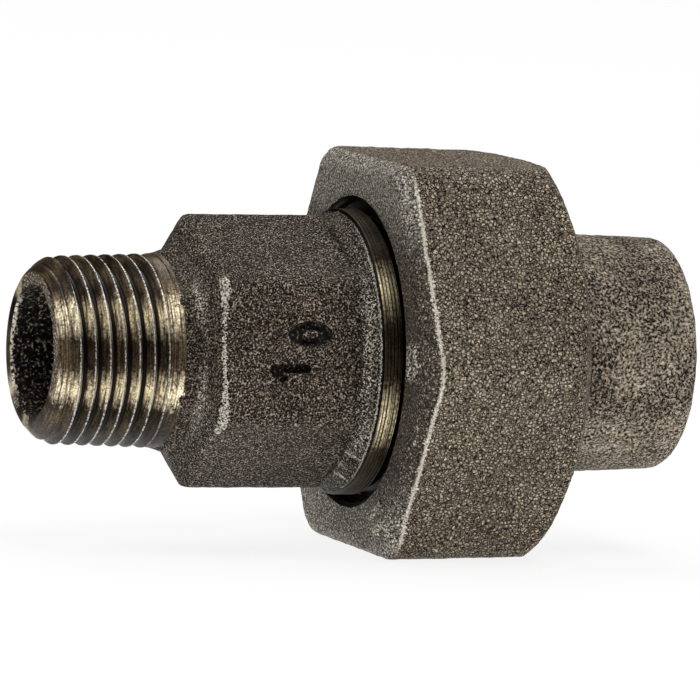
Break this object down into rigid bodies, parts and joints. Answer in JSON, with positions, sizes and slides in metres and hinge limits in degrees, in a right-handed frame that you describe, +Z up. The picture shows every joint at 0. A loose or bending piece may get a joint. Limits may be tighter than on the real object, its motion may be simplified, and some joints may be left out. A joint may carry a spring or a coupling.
{
  "type": "pipe union",
  "caption": "Black malleable-iron pipe union with a male taper thread and a female socket, drawn together on a flat gasket by a hexagonal nut.",
  "frame": {"origin": "centre of the bounding box, on the flow axis midway between the two ends", "axes": "+X along the flow axis towards the female socket, +Z up from the nut flat that it lies on, +Y across"},
  "size_m": [0.0584, 0.0392, 0.0346],
  "materials": {
    "oiled_malleable_iron": "as cast, oiled, with turned threads",
    "black_malleable_iron": "as cast, dry black",
    "gasket_fibre": "matt compressed fibre"
  },
  "bodies": {
    "male": {"male_half": "oiled_malleable_iron"},
    "seat": {"seat_gasket": "gasket_fibre"},
    "nut": {"union_nut": "black_malleable_iron"},
    "female": {"female_half": "black_malleable_iron"}
  },
  "joints": [
    {"name": "draw_apart", "type": "slide", "parent": "male", "child": "seat", "axis": [1, 0, 0], "range_m": [0, 0.0075]},
    {"name": "nut_turn", "type": "hinge", "parent": "seat", "child": "nut", "pos_m": [0.008, 0, 0], "axis": [1, 0, 0], "range_deg": [0, 1800]},
    {"name": "female_swivel", "type": "hinge", "parent": "seat", "child": "female", "pos_m": [0.009, 0, 0], "axis": [1, 0, 0], "range_deg": [-180, 180]}
  ],
  "couplings": [
    {"joint": "draw_apart", "follows": "nut_turn", "m_per_rad": 0.00023873}
  ]
}
